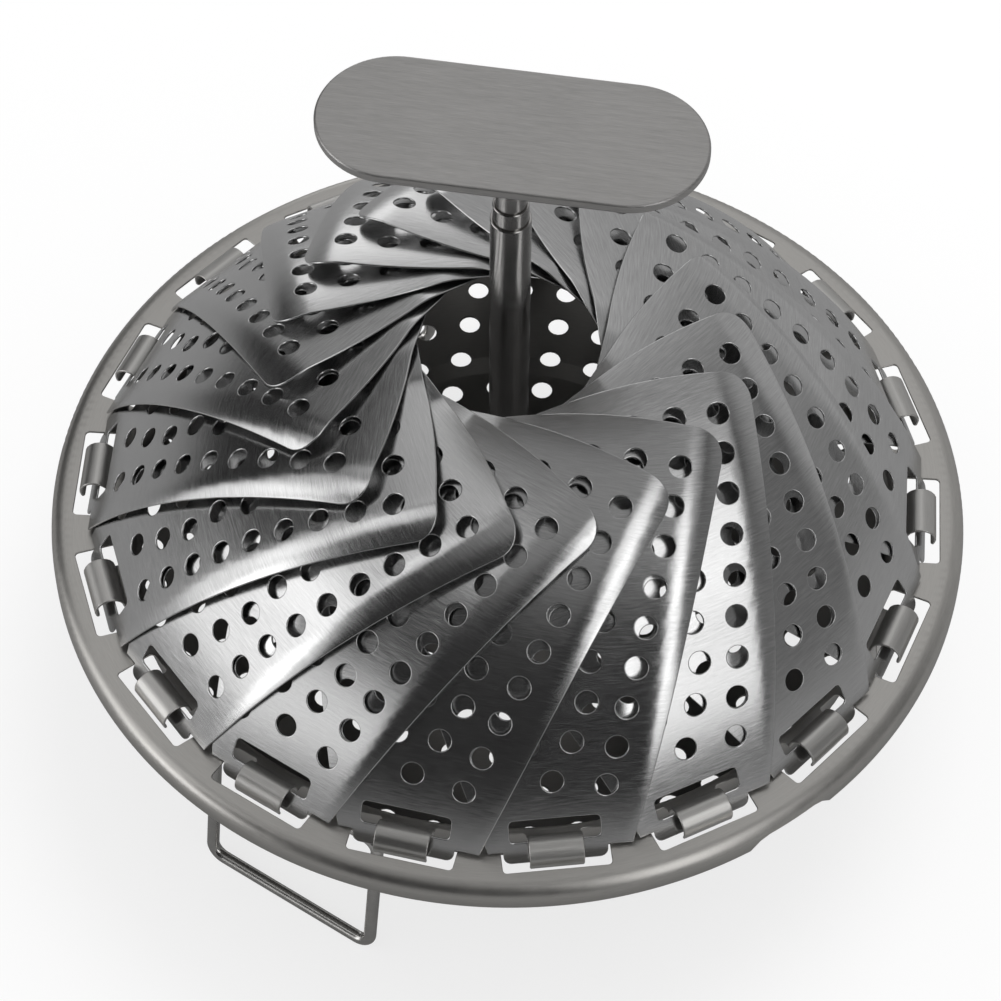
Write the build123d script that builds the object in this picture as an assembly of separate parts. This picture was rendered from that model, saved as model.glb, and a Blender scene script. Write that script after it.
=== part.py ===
from build123d import *
import math
import os

# Folding steamer basket, closed, standing on its three wire legs.
# Millimetres, +Z up, origin on the ground under the middle of the post.
MM = 1.0

# Dish
dish_sheet = 0.6 * MM
flange_height = 48.3 * MM
rim_radius = 90.4 * MM
rim_bend_radius = 2.7 * MM
rim_skirt_depth = 5.2 * MM
wall_top_radius = 76.0 * MM
wall_foot_radius = 75.6 * MM
wall_top_bend_radius = 0.9 * MM
floor_bend_radius = 2.0 * MM
floor_depth = 11.5 * MM
floor_step_height = 1.0 * MM
floor_step_outer_radius = 44.1 * MM
floor_step_inner_radius = 39.1 * MM
floor_step_bend_radius = 2.0 * MM
floor_hole_diameter = 4.2 * MM
floor_hole_pitch = 8.88 * MM
floor_ring_count = 8
floor_hole_start = 22.2
hole_margin = 1.0 * MM

# Rim notch
notch_width = 13.0 * MM
notch_shoulder = 3.0 * MM
notch_angle = -50.0

# Windows and hooks
petal_count = 18
window_half_width = 10.2 * MM
window_corner_radius = 86.0 * MM
window_bend_radius = 0.8 * MM
hook_width = 10.3 * MM
hook_clearance = 0.3 * MM
hook_end_angle = -38.0

# Petals
petal_sheet = 0.45 * MM
hinge_radius = 81.58 * MM
hinge_rise = 0.4 * MM
petal_arc_radius = 96.7 * MM
petal_base_lean = 27.46
petal_length = 83.3 * MM
petal_base_half_width = 14.4 * MM
petal_side_slope_share = 0.31
fan_centre_distance = 19.1 * MM
petal_corner_radius = 6.0 * MM
petal_edge_strip = 7.5 * MM
strip_start = 4.0 * MM
strip_slope_share = 0.3
strip_end_slope_share = 0.65
side_rise_share = 0.02
seam_tip_across = 4.0 * MM
seam_width = 16.0 * MM
near_drop_share = 0.26
far_drop_share = 0.6
hidden_width_share = 0.88
bar_height = 4.5 * MM
slot_height = 4.5 * MM
slot_width = 17.0 * MM
slot_corner_radius = 0.9 * MM
tongue_width = 19.6 * MM
tongue_corner_radius = 1.6 * MM
shoulder_rise = 0.3 * MM
petal_hole_diameter = 4.2 * MM
first_row_distance = 33.3 * MM
row_pitch = 7.6 * MM
row_count = 9
row_hole_spacing = 8.3 * MM
row_edge_angle = 17.5

# Post and handle
outer_tube_diameter = 7.6 * MM
outer_tube_wall = 0.3 * MM
outer_tube_top = 85.6 * MM
middle_tube_diameter = 6.7 * MM
middle_tube_wall = 0.3 * MM
middle_tube_show = 4.0 * MM
rod_diameter = 5.85 * MM
rod_show = 17.6 * MM
crimp_length = 3.0 * MM
slide_clearance = 0.05 * MM
tube_chamfer = 0.12 * MM
middle_drop = 3.0 * MM
rod_drop = 15.6 * MM
sleeve_length = 8.0 * MM
sleeve_bore = 4.4 * MM
spigot_clearance = 0.05 * MM
spigot_head_length = 1.2 * MM
spigot_head_diameter = 5.4 * MM
stop_gap = 0.4 * MM
plate_length = 70.0 * MM
plate_width = 28.6 * MM
plate_thickness = 2.0 * MM
plate_edge_radius = 0.5 * MM
plate_angle = -5.2
weld_width = 1.3 * MM
weld_height = 1.5 * MM
plug_length = 6.0 * MM
screw_diameter = 3.0 * MM
screw_depth = 4.5 * MM
screw_head_diameter = 6.4 * MM
screw_head_height = 2.0 * MM
washer_diameter = 11.0 * MM
washer_thickness = 1.0 * MM

# Legs
leg_count = 3
leg_names = ("a", "b", "c")
wire_diameter = 2.5 * MM
wire_bend_radius = 3.0 * MM
foot_half_length = 20.3 * MM
foot_radius = 77.0 * MM
leg_hinge_radius = 72.8 * MM
leg_pin_inner = 6.0 * MM
leg_clip_half_width = 12.6 * MM
leg_clip_sheet = 0.8 * MM
leg_clip_inner_radius = 58.0 * MM
leg_clearance = 0.1 * MM
rivet_diameter = 3.0 * MM
rivet_head_diameter = 5.0 * MM
rivet_head_height = 0.9 * MM
rivet_radius = 62.5 * MM
rivet_spread = 8.4 * MM

# One overrun for every cut
overrun = 4.0 * MM

# Heights that follow from the sizes above
pitch_angle = 360.0 / petal_count
floor_top = flange_height - floor_depth
centre_floor_top = floor_top + floor_step_height
floor_bottom = floor_top - dish_sheet
hinge_height = flange_height + hinge_rise
clip_outer_radius = wire_diameter / 2 + leg_clearance + leg_clip_sheet
leg_hinge_height = floor_bottom - clip_outer_radius
hook_inner_radius = bar_height / 2 + hook_clearance
hook_outer_radius = hook_inner_radius + dish_sheet
hook_root = hinge_radius - hook_outer_radius
middle_lean = math.radians(petal_base_lean) + petal_length / petal_arc_radius / 2
middle_out = Vector(math.cos(middle_lean), 0, math.sin(middle_lean))
bend_centre = Vector(
    hinge_radius - petal_arc_radius * math.cos(math.radians(petal_base_lean)), 0,
    hinge_height - petal_arc_radius * math.sin(math.radians(petal_base_lean)))


def save(shape, name):
    """Write one node."""
    shape.label = name
    export_step(shape, f"parts/{name}.step", write_pcurves=False)


def around(shape, angle):
    """Turn a shape about the post."""
    return shape.rotate(Axis.Z, angle)


def ring(outer_radius, inner_radius, low, high):
    """A round tube that stands on the post's axis."""
    height = high - low
    tube = Cylinder(outer_radius, height) - Cylinder(inner_radius, height + overrun)
    return Pos(0, 0, (low + high) / 2) * tube


def disc(radius, low, high):
    """A round bar that stands on the post's axis."""
    return Pos(0, 0, (low + high) / 2) * Cylinder(radius, high - low)


# Dish

def dish_profile():
    """Middle line of the pressed sheet, from the centre out to the rim's edge."""
    half = dish_sheet / 2
    corners = [
        (0, centre_floor_top - half),
        (floor_step_inner_radius, centre_floor_top - half),
        (floor_step_outer_radius, floor_top - half),
        (wall_foot_radius, floor_top - half),
        (wall_top_radius, flange_height - half),
        (rim_radius - half, flange_height - half),
        (rim_radius - half, flange_height - rim_skirt_depth),
    ]
    radii = [
        floor_step_bend_radius,
        floor_step_bend_radius,
        floor_bend_radius,
        wall_top_bend_radius,
        rim_bend_radius,
    ]
    return corners, radii


def bent_line(corners, radii):
    """Straight runs joined by tangent arcs, as one wire on the XZ plane."""
    points = [Vector(x, 0, z) for x, z in corners]
    edges = []
    start = points[0]
    for index, radius in enumerate(radii):
        before = points[index]
        corner = points[index + 1]
        after = points[index + 2]
        come = (corner - before).normalized()
        leave = (after - corner).normalized()
        turn = math.acos(max(-1, min(1, come.dot(leave))))
        setback = radius * math.tan(turn / 2)
        first = corner - come * setback
        last = corner + leave * setback
        bisector = (leave - come).normalized()
        centre = corner + bisector * (radius / math.cos(turn / 2))
        middle = centre - bisector * radius
        edges.append(Edge.make_line(start, first))
        edges.append(Edge.make_three_point_arc(first, middle, last))
        start = last
    edges.append(Edge.make_line(start, points[-1]))
    return Wire(edges)


def sheet_section(corners, radii, thickness):
    """Closed outline of a bent sheet round its middle line."""
    half = thickness / 2
    sides = []
    for side in (half, -half):
        moved = []
        for index, (x, z) in enumerate(corners):
            point = Vector(x, 0, z)
            normals = []
            if index > 0:
                back = Vector(corners[index - 1][0], 0, corners[index - 1][1])
                way = (point - back).normalized()
                normals.append(Vector(-way.Z, 0, way.X))
            if index < len(corners) - 1:
                ahead = Vector(corners[index + 1][0], 0, corners[index + 1][1])
                way = (ahead - point).normalized()
                normals.append(Vector(-way.Z, 0, way.X))
            total = sum(normals[1:], normals[0])
            mitre = total.normalized()
            reach = side / mitre.dot(normals[0])
            moved.append(point + mitre * reach)
        bent = []
        for index, radius in enumerate(radii):
            come = moved[index + 1] - moved[index]
            leave = moved[index + 2] - moved[index + 1]
            left_turn = come.Z * leave.X - come.X * leave.Z < 0
            bent.append(radius - side if left_turn else radius + side)
        sides.append(bent_line([(p.X, p.Z) for p in moved], bent))
    top, bottom = sides
    caps = [
        Edge.make_line(top @ 0, bottom @ 0),
        Edge.make_line(top @ 1, bottom @ 1),
    ]
    return Face(Wire(top.edges() + bottom.edges() + caps))


def window_cutter():
    """One window in the rim: straight inner and outer edges, with a tab left for the hook."""
    inner = wall_top_radius + wall_top_bend_radius + dish_sheet / 2
    outer = math.sqrt(window_corner_radius ** 2 - window_half_width ** 2)
    opening = Pos((inner + outer) / 2, 0) * RectangleRounded(
        outer - inner, 2 * window_half_width, window_bend_radius)
    root = Pos(hook_root, 0) * Rectangle(2 * dish_sheet, hook_width)
    cutter = extrude(opening - root, dish_sheet + overrun)
    return Pos(0, 0, flange_height - dish_sheet - overrun / 2) * cutter


def hook():
    """A strip that rises from the window's inner edge and curls over the hinge bar."""
    axis_point = (hinge_radius, hinge_height)
    ring_face = Circle(hook_outer_radius) - Circle(hook_inner_radius)
    reach = 2 * hook_outer_radius
    keep_angle = 180 - hook_end_angle
    corners = [(0, 0)]
    steps = 6
    for step in range(steps + 1):
        angle = math.radians(180 - keep_angle * step / steps)
        corners.append((reach * math.cos(angle), reach * math.sin(angle)))
    wedge = make_face(Polyline(*corners, close=True))
    curl = Pos(*axis_point) * (ring_face & wedge)
    low = flange_height - dish_sheet
    rise = hinge_height - low
    stem = Pos(hook_root + dish_sheet / 2, low + rise / 2) * Rectangle(dish_sheet, rise)
    foot_length = hook_root - wall_top_radius
    foot = Pos(hook_root - foot_length / 2 + dish_sheet, low + dish_sheet / 2)
    foot = foot * Rectangle(foot_length, dish_sheet)
    section = curl + stem + foot
    solid = extrude(Plane.XZ * section, hook_width / 2, both=True)
    return solid


def notch_cutter():
    """The dip in the rim's skirt, with sides that flare out downward."""
    low = -rim_skirt_depth - overrun
    half = notch_width / 2
    outline = Polyline(
        (-half, -rim_bend_radius),
        (half, -rim_bend_radius),
        (half + notch_shoulder, -rim_skirt_depth),
        (half + notch_shoulder, low),
        (-half - notch_shoulder, low),
        (-half - notch_shoulder, -rim_skirt_depth),
        close=True)
    face = make_face(outline)
    face = fillet(face.vertices().sort_by(Axis.Y)[-2:], notch_shoulder / 2)
    solid = extrude(Plane.YZ * face, rim_radius + overrun)
    core = Cylinder(rim_radius - rim_bend_radius - dish_sheet, 2 * rim_radius)
    return Pos(0, 0, flange_height) * (solid - core)


def near_clip(x, y):
    """Whether a floor hole would run into a leg's clip."""
    for index in range(leg_count):
        angle = math.radians(index * 360 / leg_count)
        out = x * math.cos(angle) + y * math.sin(angle)
        side = y * math.cos(angle) - x * math.sin(angle)
        room = floor_hole_diameter / 2 + hole_margin
        if out > leg_clip_inner_radius - room and abs(side) < leg_clip_half_width + room:
            return True
    return False


def floor_holes():
    """Rings of holes; each ring holds six more than the one inside it."""
    drill = Cylinder(floor_hole_diameter / 2, floor_step_height + dish_sheet + overrun)
    drills = []
    for index in range(1, floor_ring_count + 1):
        radius = index * floor_hole_pitch
        count = 6 * index
        for step in range(count):
            angle = math.radians(floor_hole_start + step * 360 / count)
            x = radius * math.cos(angle)
            y = radius * math.sin(angle)
            if not near_clip(x, y):
                drills.append(Pos(x, y, floor_bottom) * drill)
    return drills


def rivet_places():
    """Where the clips' rivets stand."""
    places = []
    for index in range(leg_count):
        turn = index * 360 / leg_count
        for side in (-rivet_spread, rivet_spread):
            places.append((Vector(rivet_radius, side, 0).rotate(Axis.Z, turn)))
    return places


def make_dish():
    corners, radii = dish_profile()
    section = sheet_section(corners, radii, dish_sheet)
    dish = revolve(section, Axis.Z, 360)
    cuts = floor_holes()
    cuts.append(Pos(0, 0, floor_top) * Cylinder(screw_diameter / 2, floor_depth))
    for place in rivet_places():
        shank = Cylinder(rivet_diameter / 2, dish_sheet + overrun)
        cuts.append(Pos(place.X, place.Y, floor_bottom) * shank)
    for index in range(petal_count):
        cuts.append(around(window_cutter(), index * pitch_angle))
    cuts.append(around(notch_cutter(), notch_angle))
    dish = dish - cuts
    hooks = [around(hook(), index * pitch_angle) for index in range(petal_count)]
    return dish + hooks


# Petals

def petal_profile(along):
    """Radius, height and lean of the petal's bent middle line, from the hinge up."""
    lean = math.radians(petal_base_lean) + along / petal_arc_radius
    base = math.radians(petal_base_lean)
    x = hinge_radius + petal_arc_radius * (math.cos(lean) - math.cos(base))
    z = hinge_height + petal_arc_radius * (math.sin(lean) - math.sin(base))
    return x, z, lean


def middle_place(along):
    """Place up the petal on the flat plane that touches its middle."""
    lean = math.radians(petal_base_lean) + along / petal_arc_radius
    return petal_arc_radius * math.sin(lean - middle_lean)


def half_width(along):
    return petal_base_half_width + petal_side_slope_share * along


def seam_line():
    """Ends of the fold that starts the hidden side, across and up the middle plane."""
    foot = (-hidden_width_share * half_width(strip_start), middle_place(strip_start))
    return foot, (seam_tip_across, middle_place(petal_length))


def strip_line():
    """Ends of the fold that starts the edge strip, across and up the middle plane."""
    foot = (half_width(strip_start), middle_place(strip_start))
    tip = (half_width(petal_length) - petal_edge_strip, middle_place(petal_length))
    return foot, tip


def line_across(line, place):
    foot, tip = line
    slope = (tip[0] - foot[0]) / (tip[1] - foot[1])
    return foot[0] + slope * (place - foot[1])


def petal_drop(place, across):
    """How far a point lies inside the bent middle surface, along the middle's normal."""
    hidden = max(line_across(seam_line(), place) - across, 0)
    far_hidden = max(hidden - seam_width, 0)
    strip = max(across - line_across(strip_line(), place), 0)
    strip_end = max(strip - petal_edge_strip / 2, 0)
    drop = near_drop_share * hidden - side_rise_share * across
    drop += (far_drop_share - near_drop_share) * far_hidden
    drop += strip_slope_share * strip
    return drop + (strip_end_slope_share - strip_slope_share) * strip_end


def petal_point(along, across):
    """A point of the petal's middle surface, hinged at +X."""
    x, z, lean = petal_profile(along)
    drop = petal_drop(middle_place(along), across)
    return Vector(x, across, z) - middle_out * drop


def tip_distance(share):
    """How far up the petal its curved end lies, at a share of its half width."""
    far = petal_length + fan_centre_distance
    near = petal_base_half_width - petal_side_slope_share * fan_centre_distance
    slope = petal_side_slope_share
    a = 1 + (share * slope) ** 2
    b = share * share * slope * near
    c = (share * near) ** 2 - far * far
    reach = (-b + math.sqrt(b * b - a * c)) / a
    return reach - fan_centre_distance


def middle_plane():
    """The plane that touches the petal's middle: X across, Y up the petal, Z outward."""
    return Plane(origin=bend_centre + middle_out * petal_arc_radius, x_dir=(0, 1, 0),
                 z_dir=middle_out)


def petal_core():
    """The bent, straight-sided sheet between the hidden side and the edge strip."""
    half = petal_sheet / 2
    room = petal_arc_radius / 3
    axis = Vector(0, 1, 0) + middle_out * side_rise_share
    tube = Cylinder(petal_arc_radius + half, 2 * petal_arc_radius)
    tube -= Cylinder(petal_arc_radius - half, 3 * petal_arc_radius)
    tube = Plane(origin=bend_centre, z_dir=axis.normalized()) * tube
    low = middle_place(-bar_height)
    high = middle_place(petal_length + bar_height)
    corners = [
        (line_across(seam_line(), low), low),
        (line_across(strip_line(), low), low),
        (line_across(strip_line(), high), high),
        (line_across(seam_line(), high), high),
    ]
    face = make_face(Polyline(*corners, close=True))
    block = extrude(middle_plane() * face, room, both=True)
    return tube & block


def folded_side(core, side, widths, slopes):
    """Flat strips that carry the core on to one side, each folded further inward."""
    face = max(core.faces(), key=lambda face: face.normal_at().Y * side)
    strips = []
    for width, slope in zip(widths, slopes):
        way = (Vector(0, side, 0) - middle_out * (slope - side * side_rise_share)) * width
        strips.append(Solid.extrude(face, way))
        face = face.moved(Location(way))
    return strips


def petal_blank():
    """The core with its folds: two on the hidden side and two in the edge strip."""
    core = petal_core()
    hidden = folded_side(core, -1, (seam_width, half_width(petal_length)),
                         (near_drop_share, far_drop_share))
    strip = folded_side(core, 1, (petal_edge_strip / 2, petal_edge_strip),
                        (strip_slope_share, strip_end_slope_share))
    return core + hidden + strip


def outline_block():
    """The petal's outline, as a block that stands on the middle plane."""
    low = -bar_height / 2
    left = -hidden_width_share
    ends = []
    for share in (left, 0, 1):
        along = tip_distance(share)
        ends.append((share * half_width(along), middle_place(along)))
    foot_left = (left * half_width(low), middle_place(low))
    foot_right = (half_width(low), middle_place(low))
    arc = ThreePointArc(ends[0], ends[1], ends[2])
    sides = Polyline(ends[2], foot_right, foot_left, ends[0])
    face = make_face(arc.edges() + sides.edges())
    face = fillet(face.vertices().sort_by(Axis.Y)[-2:], petal_corner_radius)
    return extrude(middle_plane() * face, petal_arc_radius / 3, both=True)


def petal_plane(along, across):
    """A plane that lies on the petal: X across, Y up the petal, Z outward."""
    step = petal_sheet
    point = petal_point(along, across)
    up = petal_point(along + step, across) - petal_point(along - step, across)
    side = petal_point(along, across + step) - petal_point(along, across - step)
    return Plane(origin=point, x_dir=side.normalized(), z_dir=side.cross(up).normalized())


def foot_cutter():
    """Cuts the slot, the tongue and the shoulders at the foot of a petal."""
    wide = 2 * half_width(bar_height) + overrun
    below = bar_height + overrun
    skirt = Pos(0, shoulder_rise - below / 2) * Rectangle(wide, below)
    tongue_top = shoulder_rise + overrun
    tongue_height = tongue_top + bar_height / 2
    tongue = Pos(0, tongue_top - tongue_height / 2) * RectangleRounded(
        tongue_width, tongue_height, tongue_corner_radius)
    slot = Pos(0, (bar_height + slot_height) / 2) * RectangleRounded(
        slot_width, slot_height, slot_corner_radius)
    shape = (skirt - tongue) + slot
    return extrude(petal_plane(0, 0) * shape, overrun / 2, both=True)


def petal_holes():
    """Holes on arcs about the fan's centre, spread evenly across each arc."""
    drill = Cylinder(petal_hole_diameter / 2, overrun)
    edge = math.radians(row_edge_angle)
    drills = []
    for row in range(row_count):
        distance = first_row_distance + row * row_pitch
        reach = distance * math.sin(edge)
        count = round(2 * reach / row_hole_spacing) + 1
        for index in range(count):
            across = reach * (2 * index / (count - 1) - 1)
            along = math.sqrt(distance * distance - across * across) - fan_centre_distance
            drills.append(petal_plane(along, across).location * drill)
    return drills


def make_petal():
    petal = petal_blank() & outline_block()
    cuts = petal_holes()
    cuts.append(foot_cutter())
    return petal - cuts


# Post and handle

def make_outer_tube():
    top = flange_height + outer_tube_top
    radius = outer_tube_diameter / 2
    crimp_radius = middle_tube_diameter / 2 + slide_clearance
    tube = ring(radius, radius - outer_tube_wall, centre_floor_top, top)
    tube += ring(radius - outer_tube_wall / 2, crimp_radius, top - crimp_length, top)
    rim = tube.edges().filter_by(GeomType.CIRCLE).group_by(Axis.Z)[-1].sort_by(SortBy.LENGTH)[-1]
    return chamfer(rim, tube_chamfer)


def make_middle_tube():
    top = flange_height + outer_tube_top + middle_tube_show
    foot = plug_top() + middle_drop + stop_gap
    radius = middle_tube_diameter / 2
    bore = radius - middle_tube_wall
    flare = outer_tube_diameter / 2 - outer_tube_wall - slide_clearance
    crimp_radius = rod_diameter / 2 + slide_clearance
    tube = ring(radius, bore, foot, top)
    tube += ring(flare, bore, foot, foot + crimp_length)
    tube += ring(radius - middle_tube_wall / 2, crimp_radius, top - crimp_length, top)
    rim = tube.edges().filter_by(GeomType.CIRCLE).group_by(Axis.Z)[-1].sort_by(SortBy.LENGTH)[-1]
    return chamfer(rim, tube_chamfer)


def plug_top():
    return centre_floor_top + plug_length


def sleeve_foot():
    return plug_top() + middle_drop + rod_drop + spigot_head_length + 2 * stop_gap


def make_sleeve():
    low = sleeve_foot()
    outer = middle_tube_diameter / 2 - middle_tube_wall - slide_clearance
    return ring(outer, sleeve_bore / 2, low, low + sleeve_length)


def rod_top():
    return flange_height + outer_tube_top + middle_tube_show + rod_show


def make_rod():
    low = sleeve_foot()
    shoulder = low + sleeve_length + spigot_clearance
    spigot_foot = low - spigot_clearance
    rod = disc(rod_diameter / 2, shoulder, rod_top())
    rod += disc(sleeve_bore / 2 - spigot_clearance, spigot_foot, shoulder)
    head = disc(spigot_head_diameter / 2, spigot_foot - spigot_head_length, spigot_foot)
    return rod + head


def make_weld():
    radius = rod_diameter / 2
    high = rod_top()
    cone = Cone(radius + tube_chamfer, radius + weld_width, weld_height)
    cone = Pos(0, 0, high - weld_height / 2) * cone
    return cone - Cylinder(radius, 2 * high)


def make_plate():
    shape = SlotOverall(plate_length, plate_width)
    plate = extrude(Pos(0, 0, rod_top()) * shape, plate_thickness)
    faces = plate.faces().sort_by(Axis.Z)
    edges = faces[0].edges() + faces[-1].edges()
    return around(fillet(edges, plate_edge_radius), plate_angle)


def make_plug():
    radius = outer_tube_diameter / 2 - outer_tube_wall
    return ring(radius, screw_diameter / 2, centre_floor_top, plug_top())


def make_washer():
    low = centre_floor_top - dish_sheet - washer_thickness
    return ring(washer_diameter / 2, screw_diameter / 2, low, low + washer_thickness)


def make_screw():
    seat = centre_floor_top - dish_sheet - washer_thickness
    head = disc(screw_head_diameter / 2, seat - screw_head_height, seat)
    head = fillet(head.edges().group_by(Axis.Z)[0], screw_head_height / 2)
    reach = seat + washer_thickness + dish_sheet + screw_depth
    return head + disc(screw_diameter / 2, seat, reach)


# Legs

def make_leg():
    """One bent wire: two inward pins, two uprights and a foot bar."""
    half = foot_half_length - wire_diameter / 2
    foot_height = wire_diameter / 2
    route = [
        Vector(leg_hinge_radius, leg_pin_inner, leg_hinge_height),
        Vector(leg_hinge_radius, half, leg_hinge_height),
        Vector(foot_radius, half, foot_height),
        Vector(foot_radius, -half, foot_height),
        Vector(leg_hinge_radius, -half, leg_hinge_height),
        Vector(leg_hinge_radius, -leg_pin_inner, leg_hinge_height),
    ]
    line = FilletPolyline(*route, radius=wire_bend_radius)
    start = Plane(origin=route[0], z_dir=Vector(0, 1, 0))
    return sweep(start * Circle(wire_diameter / 2), path=line)


def make_clip():
    """A strip under the floor whose outer edge curls round the leg's pins."""
    outer = clip_outer_radius
    curl = Circle(outer) - Circle(outer - leg_clip_sheet)
    corner = Pos(-outer, outer / 2) * Rectangle(2 * outer, outer)
    curl = Pos(leg_hinge_radius, leg_hinge_height) * (curl - corner)
    length = leg_hinge_radius - leg_clip_inner_radius
    strip = Pos(leg_hinge_radius - length / 2, floor_bottom - leg_clip_sheet / 2)
    strip = strip * Rectangle(length, leg_clip_sheet)
    clip = extrude(Plane.XZ * (curl + strip), leg_clip_half_width, both=True)
    for side in (-rivet_spread, rivet_spread):
        clip -= Pos(rivet_radius, side, floor_bottom) * Cylinder(rivet_diameter / 2, overrun)
    return clip


def make_rivet(place):
    """A rivet with a low head above the floor and one under the clip."""
    low = floor_bottom - leg_clip_sheet
    shank = Cylinder(rivet_diameter / 2, floor_top - low)
    rivet = Pos(place.X, place.Y, (floor_top + low) / 2) * shank
    head = Cylinder(rivet_head_diameter / 2, rivet_head_height)
    rivet += Pos(place.X, place.Y, floor_top + rivet_head_height / 2) * head
    rivet += Pos(place.X, place.Y, low - rivet_head_height / 2) * head
    return rivet


os.makedirs("parts", exist_ok=True)
save(make_dish(), "dish")
petal = make_petal()
for number in range(petal_count):
    save(around(petal, number * pitch_angle), f"petal_{number + 1:02d}")
leg = make_leg()
clip = make_clip()
for index, name in enumerate(leg_names):
    save(around(leg, index * 360 / leg_count), f"leg_{name}")
    save(around(clip, index * 360 / leg_count), f"leg_clip_{name}")
save(Compound(children=[make_rivet(place) for place in rivet_places()]), "clip_rivets")
save(make_outer_tube(), "post_outer_tube")
save(make_plug(), "post_plug")
save(make_screw(), "post_screw")
save(make_washer(), "post_washer")
save(make_middle_tube(), "post_middle_tube")
save(make_sleeve(), "friction_sleeve")
save(make_rod(), "handle_rod")
save(make_weld(), "handle_weld")
save(make_plate(), "handle_plate")
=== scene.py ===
import math

import bpy
import numpy as np
from mathutils import Matrix, Vector
from mathutils.geometry import delaunay_2d_cdt
from mathutils.kdtree import KDTree


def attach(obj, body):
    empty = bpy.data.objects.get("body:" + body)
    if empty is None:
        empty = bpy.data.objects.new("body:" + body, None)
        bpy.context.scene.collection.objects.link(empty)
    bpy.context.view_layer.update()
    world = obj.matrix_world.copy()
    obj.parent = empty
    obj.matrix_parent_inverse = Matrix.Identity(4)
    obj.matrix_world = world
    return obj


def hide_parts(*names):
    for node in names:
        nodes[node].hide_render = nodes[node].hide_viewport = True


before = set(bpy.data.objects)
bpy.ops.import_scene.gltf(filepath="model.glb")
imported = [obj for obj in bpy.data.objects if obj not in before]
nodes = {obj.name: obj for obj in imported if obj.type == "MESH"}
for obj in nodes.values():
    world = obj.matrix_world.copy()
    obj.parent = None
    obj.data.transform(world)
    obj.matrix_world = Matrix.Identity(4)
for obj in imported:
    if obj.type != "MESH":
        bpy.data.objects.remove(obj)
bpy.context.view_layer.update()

# Sizes in metres and angles in radians; shares of a length have names ending in share

MM = 0.001
petal_count = 18
flange_height = 48.3 * MM
hinge_radius = 81.58 * MM
hinge_height = 48.7 * MM
petal_arc_radius = 96.7 * MM
petal_base_lean = math.radians(27.46)
petal_length = 83.3 * MM
petal_base_half_width = 14.4 * MM
petal_side_slope_share = 0.31
fan_centre_distance = 19.1 * MM
petal_corner_radius = 6.0 * MM
petal_sheet = 0.45 * MM
petal_edge_strip = 7.5 * MM
strip_start = 4.0 * MM
strip_slope_share = 0.3
strip_end_slope_share = 0.65
side_rise_share = 0.02
seam_tip_across = 4.0 * MM
seam_width = 16.0 * MM
near_drop_share = 0.26
far_drop_share = 0.6
hidden_width_share = 0.88
fold_softness = 0.7 * MM
bar_height = 4.5 * MM
slot_size = (17.0 * MM, 4.5 * MM)
slot_corner_radius = 0.9 * MM
tongue_half_width = 9.8 * MM
tongue_corner_radius = 1.6 * MM
shoulder_rise = 0.3 * MM
petal_hole_radius = 2.1 * MM
first_row_distance = 33.3 * MM
row_pitch = 7.6 * MM
row_count = 9
row_hole_spacing = 8.3 * MM
row_edge_angle = math.radians(17.5)
edge_rounding = 0.22 * MM
hole_sides = 20
rim_steps = 3
mesh_pitch = 1.9 * MM
dish_sheet = 0.6 * MM
rim_radius = 90.4 * MM
rim_bend_radius = 2.7 * MM
rim_skirt_depth = 5.2 * MM
wall_top_radius = 76.0 * MM
wall_foot_radius = 75.6 * MM
floor_top = flange_height - 11.5 * MM
centre_floor_top = floor_top + 1.0 * MM
floor_step_radii = (39.1 * MM, 44.1 * MM)
dish_bend_radii = (2.0 * MM, 2.0 * MM, 2.0 * MM, 0.9 * MM, rim_bend_radius)
bend_steps = 9
floor_hole_radius = 2.1 * MM
floor_hole_pitch = 8.88 * MM
floor_ring_count = 8
floor_hole_start = math.radians(22.2)
floor_hole_sides = 16
hole_margin = 1.0 * MM
screw_radius = 1.5 * MM
rivet_radius = 1.5 * MM
rivet_place = 62.5 * MM
rivet_spread = 8.4 * MM
leg_clip_inner_radius = 58.0 * MM
leg_clip_half_width = 12.6 * MM
notch_angle = math.radians(-50)
notch_half_width = 6.5 * MM
notch_shoulder = 3.0 * MM
rim_sides = 270
dish_mesh_pitch = 2.2 * MM
window_half_width = 10.2 * MM
window_corner_radius = 86.0 * MM
window_bend_radius = 0.8 * MM
hook_width = 10.3 * MM
hook_clearance = 0.3 * MM
hook_sheet = 0.56 * MM
hook_end = math.radians(-38)
hook_foot_bend = 0.5 * MM
hook_corner_radius = 0.8 * MM
hook_mesh_pitch = 0.9 * MM
tab_end = 78.3 * MM
wire_radius = 1.25 * MM
wire_bend_radius = 3.0 * MM
foot_half_length = 20.3 * MM
foot_radius = 77.0 * MM
leg_hinge_radius = 72.8 * MM
leg_hinge_height = 34.05 * MM
leg_pin_inner = 6.0 * MM
tab_bend = 0.4 * MM
leg_count = 3
end_corner_steps = 9
curved_end_steps = 34
small_bend_steps = 5
tongue_corner_steps = 6
same_point_gap = 0.00001
fill_room_share = 0.55
dish_fill_room_share = 0.2
hook_fill_room_share = 0.5
hook_bend_steps = 22
hook_root_overlap = 0.6 * MM
wire_sides = 20
wire_bend_steps = 9
corner_limit = math.radians(32)
weld_distance = 0.002 * MM

middle_lean = petal_base_lean + petal_length / petal_arc_radius / 2
middle_out = np.array([math.cos(middle_lean), 0, math.sin(middle_lean)])
bend_x = hinge_radius - petal_arc_radius * math.cos(petal_base_lean)
bend_z = hinge_height - petal_arc_radius * math.sin(petal_base_lean)


# Petal shape

def soft_ramp(x):
    """Zero below a fold and rising evenly beyond it, with a soft bend between."""
    return fold_softness * np.logaddexp(0, x / fold_softness)


def middle_place(along):
    """Place along the petal's chord of a length along its arc."""
    return petal_arc_radius * np.sin(petal_base_lean + along / petal_arc_radius - middle_lean)


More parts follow.
